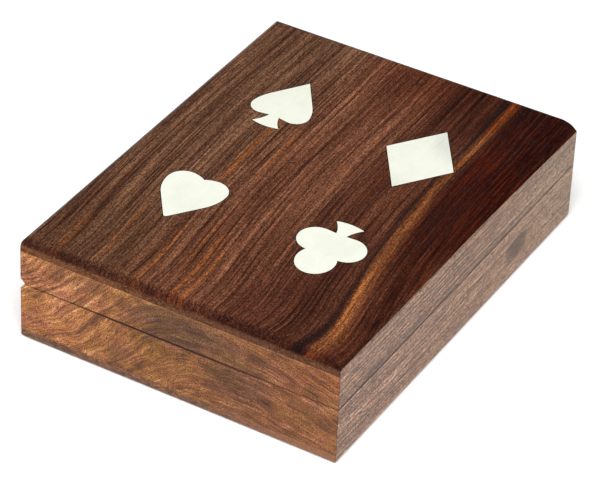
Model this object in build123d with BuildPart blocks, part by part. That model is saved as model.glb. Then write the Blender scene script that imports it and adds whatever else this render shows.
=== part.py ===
from build123d import *
import os

# A wooden box for two decks of playing cards, with a lid on two butt hinges.
# X runs along the box, +Y is the hinge side, -Y is the side that opens, Z is up.
# The origin is on the table, under the middle of the box. Sizes are in millimetres.

# Closed box
box_length = 152
box_width = 113
box_height = 38

# The lid and the base are sawn from one box. The gap left by the cut is wider at the hinges.
parting_height = 20.85
parting_gap_back = 0.3
parting_gap_front = 0.14

# Boards
wall_thickness = 7
top_thickness = 4.8
bottom_thickness = 3.5
bottom_edge_radius = 1.5

# Rounding of the lid's top: how far each curve runs in from the edge, and how far it drops.
# It was sanded by hand: the right end is rounded more at the back than at the front,
# and the front edge starts to fall off towards the right corner at front_crown_turn.
left_crown_run = 3.6
left_crown_drop = 4.6
right_crown_run_back = 4.2
right_crown_drop_back = 4.7
right_crown_run_front = 2.4
right_crown_drop_front = 3.1
front_crown_run = 7
front_crown_drop = 2.2
front_crown_turn = 15
front_crown_run_corner = 9
front_crown_drop_corner = 4.0
back_crown_run = 2.8
back_crown_drop = 2.3

# Divider between the two card compartments, let into the front and back walls
divider_thickness = 5
divider_drop = 1.5
divider_edge_radius = 0.8
divider_groove_depth = 2
divider_clearance = 0.05

# Felt pads on the floor of the compartments
felt_thickness = 1
felt_clearance = 0.3
felt_corner_radius = 1

# Suits let in flush with the lid's top
inlay_thickness = 1.2
inlay_gap = 0.25

spade_x = 31.9
spade_y = 26.4
spade_length = 29
spade_width = 20.7
spade_shoulder_width = 15.8
spade_shoulder_drop = 11.8
spade_waist_drop = 18
spade_lobe_spread = 10
spade_lobe_drop = 23.25

heart_x = -30
heart_y = 26.2
heart_lobe_radius = 5.7
heart_lobe_spread = 10
heart_lobe_height = 19.4
heart_notch_depth = 1.5
heart_cheek_width = 16.4
heart_cheek_height = 11.25
heart_tip_radius = 0.8

club_x = -28.6
club_y = -24.3
club_length = 28.9
club_crown_width = 9.8
club_crown_drop = 2.5
club_throat_width = 11.2
club_throat_drop = 10.5
club_width = 23.2
club_waist_drop = 16.9
club_lobe_spread = 10
club_lobe_drop = 22.8

diamond_x = 28.7
diamond_y = -24.45
diamond_length = 36
diamond_width = 24.9
diamond_lean = 0.5

# Stem that the spade and the club stand on
stem_length = 6.3
stem_neck_width = 3.6
stem_foot_width = 9.8
stem_foot_arch = 0.8
stem_hollow = 0.45

# Butt hinges, let into the back walls of the base and the lid
hinge_inset = 31
hinge_length = 25
leaf_width = 4.8
leaf_thickness = 0.9
knuckle_count = 5
knuckle_radius = 1.25
knuckle_gap = 0.15
pin_inset = 1.3
pin_radius = 0.55
pin_clearance = 0.05
pin_end_chamfer = 0.15
leaf_clearance = 0.15
recess_clearance = 0.3
mortise_clearance = 0.1

# V-groove along the hinge side, which lets the lid swing past upright
groove_depth = 1.8

# Countersunk slotted screws of the hinges
screw_spacing = 15
screw_from_pin = 3.1
screw_length = 6
screw_radius = 0.75
screw_point_length = 1.4
screw_head_radius = 1.3
screw_slot_width = 0.4
screw_slot_depth = 0.3
screw_slot_turn = 35
screw_clearance = 0.05
screw_tip_clearance = 0.4

# Places that follow from the sizes
half_length = box_length / 2
half_width = box_width / 2
inner_half_length = half_length - wall_thickness
inner_half_width = half_width - wall_thickness
base_top = parting_height
lid_underside = parting_height + parting_gap_back
lid_wall_top = box_height - top_thickness
pin_y = half_width - pin_inset
pin_height = base_top + parting_gap_back / 2
hinge_x = half_length - hinge_inset
knuckle_pitch = hinge_length / knuckle_count
screw_head_height = screw_head_radius - screw_radius
divider_top = base_top - divider_drop
compartment_length = inner_half_length - divider_thickness / 2
compartment_width = 2 * inner_half_width

os.makedirs("parts", exist_ok=True)


def save(piece, name):
    piece.part.label = name
    export_step(piece.part, f"parts/{name}.step")
    print(f"{name}: {piece.part.volume:.1f} cubic mm")


# Walls, mitred at the corners and seen from above
wall_corners = {
    "front": [
        (-half_length, -half_width),
        (half_length, -half_width),
        (inner_half_length, -inner_half_width),
        (-inner_half_length, -inner_half_width),
    ],
    "back": [
        (half_length, half_width),
        (-half_length, half_width),
        (-inner_half_length, inner_half_width),
        (inner_half_length, inner_half_width),
    ],
    "left": [
        (-half_length, half_width),
        (-half_length, -half_width),
        (-inner_half_length, -inner_half_width),
        (-inner_half_length, inner_half_width),
    ],
    "right": [
        (half_length, -half_width),
        (half_length, half_width),
        (inner_half_length, inner_half_width),
        (inner_half_length, -inner_half_width),
    ],
}


def hinge_frame(x, face_height, outward):
    # A plane on a wall's sawn face, straight above or below the pin, that looks out of the wood.
    # Seen from it, the base and the lid have the same hinge.
    return Plane(origin=(x, pin_y, face_height), x_dir=(outward, 0, 0), z_dir=(0, 0, outward))


def across_pin(frame, x):
    # A plane square to the pin, with its origin on the pin's axis
    return Plane(
        origin=frame.from_local_coords((x, 0, parting_gap_back / 2)),
        x_dir=frame.y_dir,
        z_dir=frame.x_dir,
    )


screw_places = [(-screw_spacing / 2, -screw_from_pin), (screw_spacing / 2, -screw_from_pin)]
hinge_places = {"left": -hinge_x, "right": hinge_x}
bodies = {
    # name: (lower end of its walls, their upper end, its sawn face, which way that face looks)
    "base": (bottom_thickness, base_top, base_top, 1),
    "lid": (base_top, lid_wall_top, lid_underside, -1),
}

for body, (wall_bottom, wall_top, face_height, outward) in bodies.items():
    for side, corners in wall_corners.items():
        with BuildPart() as wall:
            with BuildSketch(Plane.XY.offset(wall_bottom)):
                Polygon(*corners, align=None)
            extrude(amount=wall_top - wall_bottom)

            if body == "lid":
                # Saw cut
                with BuildSketch(Plane.YZ):
                    with BuildLine():
                        Polyline(
                            (-half_width, base_top),
                            (half_width, base_top),
                            (half_width, lid_underside),
                            (-half_width, base_top + parting_gap_front),
                            close=True,
                        )
                    make_face()
                extrude(amount=box_length, both=True, mode=Mode.SUBTRACT)

            # V-groove, sawn through to both ends of the box
            with BuildSketch(Plane.YZ):
                with BuildLine():
                    Polyline(
                        (half_width - groove_depth, pin_height),
                        (half_width, pin_height + groove_depth),
                        (half_width + groove_depth, pin_height),
                        (half_width, pin_height - groove_depth),
                        close=True,
                    )
                make_face()
            extrude(amount=box_length, both=True, mode=Mode.SUBTRACT)

            if side == "back":
                for x in hinge_places.values():
                    frame = hinge_frame(x, face_height, outward)

                    # Mortise for the leaf
                    with BuildSketch(frame):
                        with Locations((0, -leaf_width - mortise_clearance)):
                            Rectangle(
                                hinge_length + 2 * mortise_clearance,
                                leaf_width + mortise_clearance,
                                align=(Align.CENTER, Align.MIN),
                            )
                    extrude(amount=-leaf_thickness, mode=Mode.SUBTRACT)

                    # Hollow that the knuckles turn in
                    with BuildSketch(across_pin(frame, 0)):
                        Circle(knuckle_radius + recess_clearance)
                    extrude(
                        amount=hinge_length / 2 + recess_clearance, both=True, mode=Mode.SUBTRACT
                    )

                    # Pilot holes for the screws
                    with BuildSketch(frame):
                        with Locations(*screw_places):
                            Circle(screw_radius + screw_clearance)
                    extrude(amount=-screw_length - screw_tip_clearance, mode=Mode.SUBTRACT)

            if body == "base" and side in ("front", "back"):
                # Groove that holds the divider's end
                with BuildSketch(Plane.XY.offset(wall_bottom)):
                    Rectangle(
                        divider_thickness + 2 * divider_clearance,
                        compartment_width + 2 * (divider_groove_depth + divider_clearance),
                    )
                extrude(amount=divider_top + divider_clearance - wall_bottom, mode=Mode.SUBTRACT)
        save(wall, f"{body}_{side}_wall")


# Bottom board, full size under the walls
with BuildPart() as bottom_board:
    with BuildSketch():
        Rectangle(box_length, box_width)
    extrude(amount=bottom_thickness)
    fillet(bottom_board.faces().sort_by(Axis.Z)[0].edges(), radius=bottom_edge_radius)
save(bottom_board, "bottom_board")


# Divider
with BuildPart() as divider:
    with BuildSketch(Plane.XY.offset(bottom_thickness)):
        Rectangle(divider_thickness, compartment_width + 2 * divider_groove_depth)
    extrude(amount=divider_top - bottom_thickness)
    fillet(
        divider.faces().sort_by(Axis.Z)[-1].edges().filter_by(Axis.Y), radius=divider_edge_radius
    )
save(divider, "divider")


# Felt pads
felt_x = (inner_half_length + divider_thickness / 2) / 2
for side, x in {"left": -felt_x, "right": felt_x}.items():
    with BuildPart() as felt_pad:
        with BuildSketch(Plane.XY.offset(bottom_thickness)):
            with Locations((x, 0)):
                RectangleRounded(
                    compartment_length - 2 * felt_clearance,
                    compartment_width - 2 * felt_clearance,
                    felt_corner_radius,
                )
        extrude(amount=felt_thickness)
    save(felt_pad, f"{side}_felt_pad")


# Suit outlines. Each is drawn upright, right half first, on a plane in the floor of its pocket.
# The spade and the heart stand with their tops towards +X, the club with its top towards -X.
pocket_floor = box_height - inlay_thickness
spade_plane = Plane(origin=(spade_x, spade_y, pocket_floor), x_dir=(0, -1, 0))
heart_plane = Plane(origin=(heart_x, heart_y, pocket_floor), x_dir=(0, -1, 0))
club_plane = Plane(origin=(club_x, club_y, pocket_floor), x_dir=(0, 1, 0))
diamond_plane = Plane(origin=(diamond_x, diamond_y, pocket_floor), x_dir=(0, -1, 0))


def half_stem(foot):
    # Right side of a stem: from the neck down a hollow side and in along the arched foot
    neck = (stem_neck_width / 2, foot + stem_length)
    toe = (stem_foot_width / 2, foot + stem_foot_arch)
    middle = ((neck[0] + toe[0]) / 2 - stem_hollow, (neck[1] + toe[1]) / 2)
    ThreePointArc(neck, middle, toe)
    TangentArc((0, foot), toe, tangent=(1, 0))
    return neck


with BuildSketch(spade_plane) as spade_outline:
    with BuildLine():
        tip = (0, spade_length / 2)
        shoulder = (spade_shoulder_width / 2, spade_length / 2 - spade_shoulder_drop)
        waist = (spade_width / 2, spade_length / 2 - spade_waist_drop)
        lobe_bottom = (spade_lobe_spread / 2, spade_length / 2 - spade_lobe_drop)
        flank = Line(tip, shoulder)
        cheek = TangentArc(shoulder, waist, tangent=flank % 1)
        TangentArc(waist, lobe_bottom, tangent=cheek % 1)
        neck = half_stem(-spade_length / 2)
        Line(lobe_bottom, neck)
        mirror(about=Plane.YZ)
    make_face()

with BuildSketch(heart_plane) as heart_outline:
    with BuildLine():
        tip_height = -(heart_lobe_height + heart_lobe_radius) / 2
        lobe_middle = tip_height + heart_lobe_height
        tip = (0, tip_height)
        cheek_end = (heart_cheek_width / 2, tip_height + heart_cheek_height)
        notch = (0, lobe_middle + heart_lobe_radius - heart_notch_depth)
        lobe = CenterArc((heart_lobe_spread / 2, lobe_middle), heart_lobe_radius, 0, 90)
        TangentArc(lobe @ 1, notch, tangent=lobe % 1)
        TangentArc(lobe @ 0, cheek_end, tangent=(0, -1))
        Line(cheek_end, tip)
        mirror(about=Plane.YZ)
    make_face()
    fillet(heart_outline.vertices().sort_by(Axis.Y)[0], radius=heart_tip_radius)

with BuildSketch(club_plane) as club_outline:
    with BuildLine():
        top = (0, club_length / 2)
        crown_end = (club_crown_width / 2, club_length / 2 - club_crown_drop)
        throat = (club_throat_width / 2, club_length / 2 - club_throat_drop)
        waist = (club_width / 2, club_length / 2 - club_waist_drop)
        lobe_bottom = (club_lobe_spread / 2, club_length / 2 - club_lobe_drop)
        crown = TangentArc(top, crown_end, tangent=(1, 0))
        TangentArc(crown_end, throat, tangent=crown % 1)
        ThreePointArc(throat, waist, lobe_bottom)
        neck = half_stem(-club_length / 2)
        Line(lobe_bottom, neck)
        mirror(about=Plane.YZ)
    make_face()

with BuildSketch(diamond_plane) as diamond_outline:
    with BuildLine():
        Polyline(
            (0, diamond_length / 2),
            (-diamond_width / 2, diamond_lean),
            (0, -diamond_length / 2),
            (diamond_width / 2, -diamond_lean),
            close=True,
        )
    make_face()

suits = {
    "spade": (spade_plane, spade_outline),
    "heart": (heart_plane, heart_outline),
    "club": (club_plane, club_outline),
    "diamond": (diamond_plane, diamond_outline),
}


# Top board: the shape that its ends allow, cut down to the shape that its front and back allow
end_crowns = [
    # y, run and drop at the right end
    (-half_width, right_crown_run_front, right_crown_drop_front),
    (half_width, right_crown_run_back, right_crown_drop_back),
]
front_crowns = [
    # x, run and drop at the front
    (-half_length, front_crown_run, front_crown_drop),
    (front_crown_turn, front_crown_run, front_crown_drop),
    (half_length, front_crown_run_corner, front_crown_drop_corner),
]
with BuildPart() as top_board:
    for y, run, drop in end_crowns:
        with BuildSketch(Plane.XZ.offset(-y)):
            with BuildLine():
                left_curve = EllipticalCenterArc(
                    (-half_length + left_crown_run, box_height - left_crown_drop),
                    left_crown_run,
                    left_crown_drop,
                    start_angle=90,
                    arc_size=90,
                )
                right_curve = EllipticalCenterArc(
                    (half_length - run, box_height - drop),
                    run,
                    drop,
                    start_angle=0,
                    arc_size=90,
                )
                Line(left_curve @ 0, right_curve @ 1)
                Polyline(
                    left_curve @ 1,
                    (-half_length, lid_wall_top),
                    (half_length, lid_wall_top),
                    right_curve @ 0,
                )
            make_face()
    loft(ruled=True)

    for x, run, drop in front_crowns:
        with BuildSketch(Plane.YZ.offset(x)):
            with BuildLine():
                front_curve = TangentArc(
                    (-half_width + run, box_height), (-half_width, box_height - drop), tangent=(-1, 0)
                )
                back_curve = TangentArc(
                    (half_width - back_crown_run, box_height),
                    (half_width, box_height - back_crown_drop),
                    tangent=(1, 0),
                )
                Line(front_curve @ 0, back_curve @ 0)
                Polyline(
                    front_curve @ 1,
                    (-half_width, lid_wall_top),
                    (half_width, lid_wall_top),
                    back_curve @ 1,
                )
            make_face()
    loft(ruled=True, mode=Mode.INTERSECT)

    # Pockets for the suits
    for plane, outline in suits.values():
        with BuildSketch(plane):
            add(outline.sketch_local)
            offset(amount=inlay_gap)
        extrude(amount=inlay_thickness, mode=Mode.SUBTRACT)
save(top_board, "top_board")


# Suit inlays
for name, (plane, outline) in suits.items():
    with BuildPart() as inlay:
        extrude(outline.sketch, amount=inlay_thickness)
    save(inlay, f"{name}_inlay")


# Hinges
for body, (_, _, face_height, outward) in bodies.items():
    for side, x in hinge_places.items():
        frame = hinge_frame(x, face_height, outward)

        # Leaf: a plate with its own knuckles, cut back where the other leaf's knuckles turn
        with BuildPart() as leaf:
            with BuildSketch(frame):
                Rectangle(hinge_length, leaf_width, align=(Align.CENTER, Align.MAX))
            extrude(amount=-leaf_thickness)
            for place in range(knuckle_count):
                start = -hinge_length / 2 + place * knuckle_pitch
                belongs_to_base = place % 2 == 0
                if belongs_to_base == (body == "base"):
                    with BuildSketch(across_pin(frame, start + knuckle_gap / 2)):
                        Circle(knuckle_radius)
                    extrude(amount=knuckle_pitch - knuckle_gap)
                else:
                    with BuildSketch(across_pin(frame, start - knuckle_gap / 2)):
                        Circle(knuckle_radius + leaf_clearance)
                    extrude(amount=knuckle_pitch + knuckle_gap, mode=Mode.SUBTRACT)
            with BuildSketch(across_pin(frame, 0)):
                Circle(pin_radius + pin_clearance)
            extrude(amount=hinge_length, both=True, mode=Mode.SUBTRACT)
            with Locations(frame):
                with Locations(*screw_places):
                    CounterSinkHole(
                        radius=screw_radius + screw_clearance,
                        counter_sink_radius=screw_head_radius + screw_clearance,
                        depth=leaf_thickness,
                        counter_sink_angle=90,
                    )
        save(leaf, f"{side}_hinge_{body}_leaf")

        # Screws, each turned home to its own slot direction
        for number, (screw_x, screw_y) in enumerate(screw_places, start=1):
            head = frame.from_local_coords((screw_x, screw_y, 0))
            upright = Plane(origin=head, x_dir=frame.x_dir, z_dir=-frame.y_dir)
            with BuildPart() as screw:
                with BuildSketch(upright):
                    with BuildLine():
                        Polyline(
                            (0, 0),
                            (screw_head_radius, 0),
                            (screw_radius, -screw_head_height),
                            (screw_radius, -screw_length + screw_point_length),
                            (0, -screw_length),
                            close=True,
                        )
                    make_face()
                revolve(axis=Axis(head, frame.z_dir))
                with BuildSketch(Plane(origin=head, x_dir=frame.x_dir, z_dir=frame.z_dir)):
                    Rectangle(
                        2 * screw_head_radius + screw_slot_width,
                        screw_slot_width,
                        rotation=number * screw_slot_turn * outward,
                    )
                extrude(amount=-screw_slot_depth, mode=Mode.SUBTRACT)
            save(screw, f"{side}_hinge_{body}_screw_{number}")


# Hinge pins, fast in the base leaves' knuckles
for side, x in hinge_places.items():
    frame = hinge_frame(x, base_top, 1)
    with BuildPart() as pin:
        with BuildSketch(across_pin(frame, -hinge_length / 2)):
            Circle(pin_radius)
        extrude(amount=hinge_length)
        chamfer(pin.edges().filter_by(GeomType.CIRCLE), length=pin_end_chamfer)
    save(pin, f"{side}_hinge_pin")
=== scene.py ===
# %% [markdown]
# # A playing card box
# The box is a low wooden case with a hinged lid. Four metal suits are let into its top.
# Its solids come ready made from the frame, in metres, with X along the box, -Y towards the side
# that opens and Z up. This lesson gives them their finish: it sets the camera and the light,
# mixes each wood, metal and cloth from nodes, and cuts the felt that lines the box.

# %% Load the frame
import math

import bmesh
import bpy
from mathutils import Matrix, Vector, noise


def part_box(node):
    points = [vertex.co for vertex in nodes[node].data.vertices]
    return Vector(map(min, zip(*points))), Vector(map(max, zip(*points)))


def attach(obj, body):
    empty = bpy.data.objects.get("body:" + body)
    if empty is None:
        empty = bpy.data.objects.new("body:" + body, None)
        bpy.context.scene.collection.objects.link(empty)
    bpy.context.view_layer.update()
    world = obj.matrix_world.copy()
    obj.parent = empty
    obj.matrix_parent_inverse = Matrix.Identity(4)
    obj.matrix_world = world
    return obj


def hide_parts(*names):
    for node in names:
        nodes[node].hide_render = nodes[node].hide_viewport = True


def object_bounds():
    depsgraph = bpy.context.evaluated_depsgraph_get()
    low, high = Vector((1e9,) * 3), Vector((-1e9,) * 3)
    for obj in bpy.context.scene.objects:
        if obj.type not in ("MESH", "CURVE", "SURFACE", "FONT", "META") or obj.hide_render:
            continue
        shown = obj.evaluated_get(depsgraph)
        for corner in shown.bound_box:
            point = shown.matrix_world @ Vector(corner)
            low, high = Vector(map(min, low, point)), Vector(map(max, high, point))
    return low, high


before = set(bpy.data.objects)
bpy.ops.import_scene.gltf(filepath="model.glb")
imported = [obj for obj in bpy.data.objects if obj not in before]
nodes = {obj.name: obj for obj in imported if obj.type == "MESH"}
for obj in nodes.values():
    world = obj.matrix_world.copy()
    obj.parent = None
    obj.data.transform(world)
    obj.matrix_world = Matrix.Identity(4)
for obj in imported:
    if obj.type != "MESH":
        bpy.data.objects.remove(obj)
cad_low, cad_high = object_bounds()
print("pieces in the frame:", len(nodes))

# %% [markdown]
# ## The camera
# The picture was taken with a long lens, so the box's edges stay almost parallel. We aim at a
# point inside the box and step back from it along a line that is given by two angles. A small
# roll tips the picture, as it was in the photographer's hands. Building the camera's axes by hand
# keeps every number readable.

# %% Camera
IMAGE_WIDTH = 600
FOCAL_LENGTH_IN_PIXELS = 3396.2
BEARING = math.radians(-60.83)
HEIGHT_ANGLE = math.radians(36.11)
ROLL = math.radians(2.65)
DISTANCE = 1.0678
AIM = Vector((-0.00807, -0.0030, 0.0190))

towards_camera = Vector(
    (
        math.sin(BEARING) * math.cos(HEIGHT_ANGLE),
        -math.cos(BEARING) * math.cos(HEIGHT_ANGLE),
        math.sin(HEIGHT_ANGLE),
    )
)
level_right = Vector((0, 0, 1)).cross(towards_camera).normalized()
level_up = towards_camera.cross(level_right)
picture_right = level_right * math.cos(ROLL) + level_up * math.sin(ROLL)
picture_up = towards_camera.cross(picture_right)

camera_data = bpy.data.cameras.new("camera")
camera_data.sensor_width = 36
camera_data.lens = FOCAL_LENGTH_IN_PIXELS / IMAGE_WIDTH * camera_data.sensor_width
camera = bpy.data.objects.new("camera", camera_data)
axes = Matrix((picture_right, picture_up, towards_camera)).transposed().to_4x4()
camera.matrix_world = Matrix.Translation(AIM + towards_camera * DISTANCE) @ axes
bpy.context.scene.collection.objects.link(camera)
bpy.context.scene.camera = camera
print(f"lens {camera_data.lens:.1f} mm, {DISTANCE:.2f} m away")

# %% [markdown]
# ## The floor
# The box stands on white paper that curves up around it, as in a product photographer's studio.
# A plain square would do for one picture, but from a low angle its far edge would show as a line.
# So we turn a profile, flat first and then rising in a quarter circle, around the upright axis.

# %% Floor
FLAT_RADIUS = 2.6
FLAT_STEP = 0.35
CURVE_RADIUS = 0.7
CURVE_STEPS = 16
RING_STEPS = 96


def add_ring(mesh, radius, height):
    turns = [step / RING_STEPS * 2 * math.pi for step in range(RING_STEPS)]
    return [mesh.verts.new((radius * math.cos(t), radius * math.sin(t), height)) for t in turns]


def place_mesh(name, mesh):
    # Turns a mesh that was built point by point into a smooth object in the scene
    for face in mesh.faces:
        face.smooth = True
    data = bpy.data.meshes.new(name)
    mesh.to_mesh(data)
    mesh.free()
    made = bpy.data.objects.new(name, data)
    bpy.context.scene.collection.objects.link(made)
    return made


flat_rings = int(FLAT_RADIUS / FLAT_STEP)
profile = [(FLAT_STEP * ring, 0.0) for ring in range(1, flat_rings + 1)] + [(FLAT_RADIUS, 0.0)]
for step in range(1, CURVE_STEPS + 1):
    turn = step / CURVE_STEPS * math.pi / 2
    profile.append(
        (FLAT_RADIUS + CURVE_RADIUS * math.sin(turn), CURVE_RADIUS * (1 - math.cos(turn)))
    )

paper_mesh = bmesh.new()
middle = paper_mesh.verts.new((0, 0, 0))
rings = [add_ring(paper_mesh, radius, height) for radius, height in profile]
for step in range(RING_STEPS):
    after = (step + 1) % RING_STEPS
    paper_mesh.faces.new((middle, rings[0][step], rings[0][after]))
    for inner, outer in zip(rings, rings[1:]):
        paper_mesh.faces.new((inner[step], outer[step], outer[after], inner[after]))

paper = place_mesh("paper", paper_mesh)
print("paper rings:", len(rings))

# %% [markdown]
# ## The light
# One large soft box hangs above and behind the camera. It gives the top and both visible sides an
# even light with no hard shadow, and a weaker one far to the left lifts the end a little. The
# room around stays dim, because the top mirrors it towards the camera and would look milky in a
# bright room. The white paper throws its own light on the sides from below.

# %% Soft boxes and room
LAMP_POWER = 57
LAMP_SIZE = 1.7
LAMP_DISTANCE = 1.9
LAMP_DIRECTION = Vector((-0.50, -0.36, 0.79)).normalized()
FILL_POWER = 22
FILL_DIRECTION = Vector((-0.40, 0.78, 0.48)).normalized()
ROOM_LIGHT = 0.22
ROOM_COLOUR = (1.0, 0.99, 0.97, 1.0)


def hang_lamp(name, power, direction):
    # A square soft box that looks at the middle of the floor
    lamp_data = bpy.data.lights.new(name, "AREA")
    lamp_data.shape = "SQUARE"
    lamp_data.size = LAMP_SIZE
    lamp_data.energy = power
    lamp = bpy.data.objects.new(name, lamp_data)
    lamp.location = direction * LAMP_DISTANCE
    lamp.rotation_mode = "QUATERNION"
    lamp.rotation_quaternion = direction.to_track_quat("Z", "Y")
    bpy.context.scene.collection.objects.link(lamp)


hang_lamp("soft_box", LAMP_POWER, LAMP_DIRECTION)
hang_lamp("fill_box", FILL_POWER, FILL_DIRECTION)

world = bpy.data.worlds.new("room")
world.use_nodes = True
background = world.node_tree.nodes["Background"]
background.inputs["Color"].default_value = ROOM_COLOUR
background.inputs["Strength"].default_value = ROOM_LIGHT
bpy.context.scene.world = world
bpy.context.scene.view_settings.view_transform = "Standard"
print(f"soft boxes of {LAMP_POWER} and {FILL_POWER} W, room light {ROOM_LIGHT}")

# %% [markdown]
# ## A bench for finishes
# Every wood, metal and cloth here is a small tree of nodes. Wiring them one by one takes many
# lines that all look alike, so the bench keeps one material and adds to it. A value is either a
# plain number or the output of an earlier node, and the bench wires whichever it is given.

# %% The bench
def colour(red, green, blue):
    return (red, green, blue, 1.0)


class Finish:
    # One material being mixed from nodes
    def __init__(self, name):
        self.material = bpy.data.materials.new(name)
        self.material.use_nodes = True
        self.tree = self.material.node_tree
        self.shader = self.tree.nodes["Principled BSDF"]

    def feed(self, socket, value):
        # Wires a node's output to a socket, or sets the socket to a plain value
        if isinstance(value, bpy.types.NodeSocket):
            self.tree.links.new(value, socket)
        else:
            socket.default_value = value

    def node(self, kind, *values, **settings):
        made = self.tree.nodes.new("ShaderNode" + kind)
        for name, setting in settings.items():
            setattr(made, name, setting)
        for place, value in enumerate(values):
            if value is not None:
                self.feed(made.inputs[place], value)
        return made

    def sum(self, first, second):
        return self.node("Math", first, second, operation="ADD").outputs[0]

    def difference(self, first, second):
        return self.node("Math", first, second, operation="SUBTRACT").outputs[0]

    def product(self, first, second):
        return self.node("Math", first, second, operation="MULTIPLY").outputs[0]

    def larger(self, first, second):
        return self.node("Math", first, second, operation="MAXIMUM").outputs[0]

    def size_of(self, value):
        return self.node("Math", value, operation="ABSOLUTE").outputs[0]

    def dress(self, shade, roughness, relief, strength, depth_mm):
        # Wires colour, roughness and a fine relief into the shader, and gives the material
        bump = self.node("Bump")
        bump.inputs["Strength"].default_value = strength
        bump.inputs["Distance"].default_value = depth_mm / 1000
        self.feed(bump.inputs["Height"], relief)
        self.feed(self.shader.inputs["Base Color"], shade)
        self.feed(self.shader.inputs["Roughness"], roughness)
        self.feed(self.shader.inputs["Normal"], bump.outputs[0])
        return self.material


def count_nodes(material):
    print(material.name, "nodes:", len(material.node_tree.nodes))


print("the bench is ready")

# %% [markdown]
# Three more helpers shape a value. `between` turns a stretch of a value into a soft step from 0
# to 1. `ridge` rises to 1 along a line and falls off on both sides of it. `curve` bends a value
# through points that are given in a list, which is how we will lead the wood's grain.

# %% Steps, ridges and curves
def between(finish, value, start, end):
    # A soft step: 0 at start, 1 at end
    step = finish.node("MapRange", value, start, end, 0.0, 1.0, interpolation_type="SMOOTHSTEP")
    return step.outputs[0]


def ridge(finish, value, centre, width):
    # 1 where the value is at the centre, and 0 at a width from it
    return between(finish, finish.size_of(finish.difference(value, centre)), width, 0.0)


def curve(finish, value, points):
    # Leads a value through points, each a value and what it becomes
    low, high = points[0][0], points[-1][0]
    least = min(result for _, result in points)
    most = max(result for _, result in points)
    along = finish.node("MapRange", value, low, high, 0.0, 1.0).outputs[0]
    bend = finish.node("FloatCurve", 1.0, along)
    line = bend.mapping.curves[0]
    for number, (place, result) in enumerate(points):
        spot = ((place - low) / (high - low), (result - least) / (most - least))
        if number == 0:
            line.points[0].location = spot
        elif number == len(points) - 1:
            line.points[-1].location = spot
        else:
            line.points.new(*spot)
    bend.mapping.update()
    return finish.node("MapRange", bend.outputs[0], 0.0, 1.0, least, most).outputs[0]

# %% [markdown]
# Colour comes from `tones`, a ramp through named colours, and from `tint`, which lays one colour
# over another by a mask. `multiply_colour` takes a mask too, but it multiplies the colours, so the
# grain shows through it as through a real stain; it also lays the painted shade on the top's
# rounded edges. `weigh` does for plain values what `tint` does for colours.

# %% Tones, tints and stains
def tones(finish, value, stops):
    # Leads a value through colours. Each stop is a value with its red, green and blue.
    ramp = finish.node("ValToRGB", value)
    line = ramp.color_ramp
    for number, (place, *shade) in enumerate(stops):
        if number < 2:
            stop = line.elements[number]
            stop.position = place
        else:
            stop = line.elements.new(place)
        stop.color = colour(*shade)
    return ramp.outputs[0]


def tint(finish, amount, under, over, how="MIX"):
    # A mix node that mixes colours takes them at places 6 and 7, and gives its own at place 2
    mix = finish.node("Mix", data_type="RGBA", blend_type=how)
    finish.feed(mix.inputs["Factor"], amount)
    finish.feed(mix.inputs[6], under)
    finish.feed(mix.inputs[7], over)
    return mix.outputs[2]


def multiply_colour(finish, amount, shade, multiplier):
    # Multiplies the colours, for real stains and also for painted shade
    return tint(finish, amount, shade, multiplier, "MULTIPLY")


def weigh(finish, amount, first, second):
    # Goes from the first value to the second as the amount goes from 0 to 1
    return finish.node("Mix", amount, None, first, second, data_type="FLOAT").outputs[0]

# %% [markdown]
# `cloud` is the source of all irregularity: a noise whose patches can be stretched along one
# direction, so that a fibre comes out many times longer than it is wide. `stray` makes such a
# cloud push a line to both sides, so that nothing runs quite straight.

# %% Clouds
def cloud(finish, place, size, seed=0.0, detail=2.0, roughness=0.5, swirl=0.0):
    # Noise from 0 to 1. The patches' length, width and depth are in the units of the place.
    scale = (1 / size[0], 1 / size[1], 1 / size[2])
    spot = finish.node(
        "VectorMath", place, scale, (seed, seed * 1.7, seed * 0.6), operation="MULTIPLY_ADD"
    )
    texture = finish.node("TexNoise")
    finish.feed(texture.inputs["Vector"], spot.outputs[0])
    texture.inputs["Scale"].default_value = 1.0
    texture.inputs["Detail"].default_value = detail
    texture.inputs["Roughness"].default_value = roughness
    texture.inputs["Distortion"].default_value = swirl
    return texture.outputs[0]


def stray(finish, place, size, seed, amount):
    # A cloud around 0, whose whole range is the amount
    return finish.product(finish.difference(cloud(finish, place, size, seed), 0.5), amount)

# %% [markdown]
# Every finish needs to know where it is on the box. `find_place` gives the three coordinates in
# millimetres, and the direction that the surface faces. Both belong to the piece itself, so the
# grain stays on the lid when the lid swings open.

# %% Where a finish is
def find_place(finish):
    spot = finish.node("TexCoord")
    in_mm = finish.node("VectorMath", spot.outputs["Object"], operation="SCALE")
    in_mm.inputs["Scale"].default_value = 1000.0
    place = finish.node("SeparateXYZ", in_mm.outputs[0])
    facing = finish.node("SeparateXYZ", spot.outputs["Normal"])
    return [*place.outputs], [*facing.outputs]


def as_vector(finish, x, y, z):
    return finish.node("CombineXYZ", x, y, z).outputs[0]

# %% [markdown]
# ## Grain
# Sawn wood shows the same tree at several scales: broad bands a few millimetres wide, streaks
# inside them, single fibres, and the open pores, which are short dark dashes. We make one cloud
# for each scale. Every look of the wood below mixes these four in its own way, so that the boards
# look like one timber.

# %% Grain of any board
def grain(finish, along, across, depth, seed, width=1.0, length=1.0, fibre_length=9.0):
    place = as_vector(finish, along, across, depth)
    bands = cloud(finish, place, (120 * length, 6.5 * width, 9), seed)
    streaks = cloud(finish, place, (70 * length, 1.4 * width, 3), seed + 3.1, 2.0, 0.6)
    fibres = cloud(
        finish, place, (fibre_length * length, 0.55 * width, 0.6), seed + 7.7, 2.0, 0.6
    )
    dashes = cloud(finish, place, (2.8 * length, 0.3 * width, 0.35), seed + 9.3, 1.0)
    pores = between(finish, dashes, 0.58, 0.68)
    return bands, streaks, fibres, pores


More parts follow.
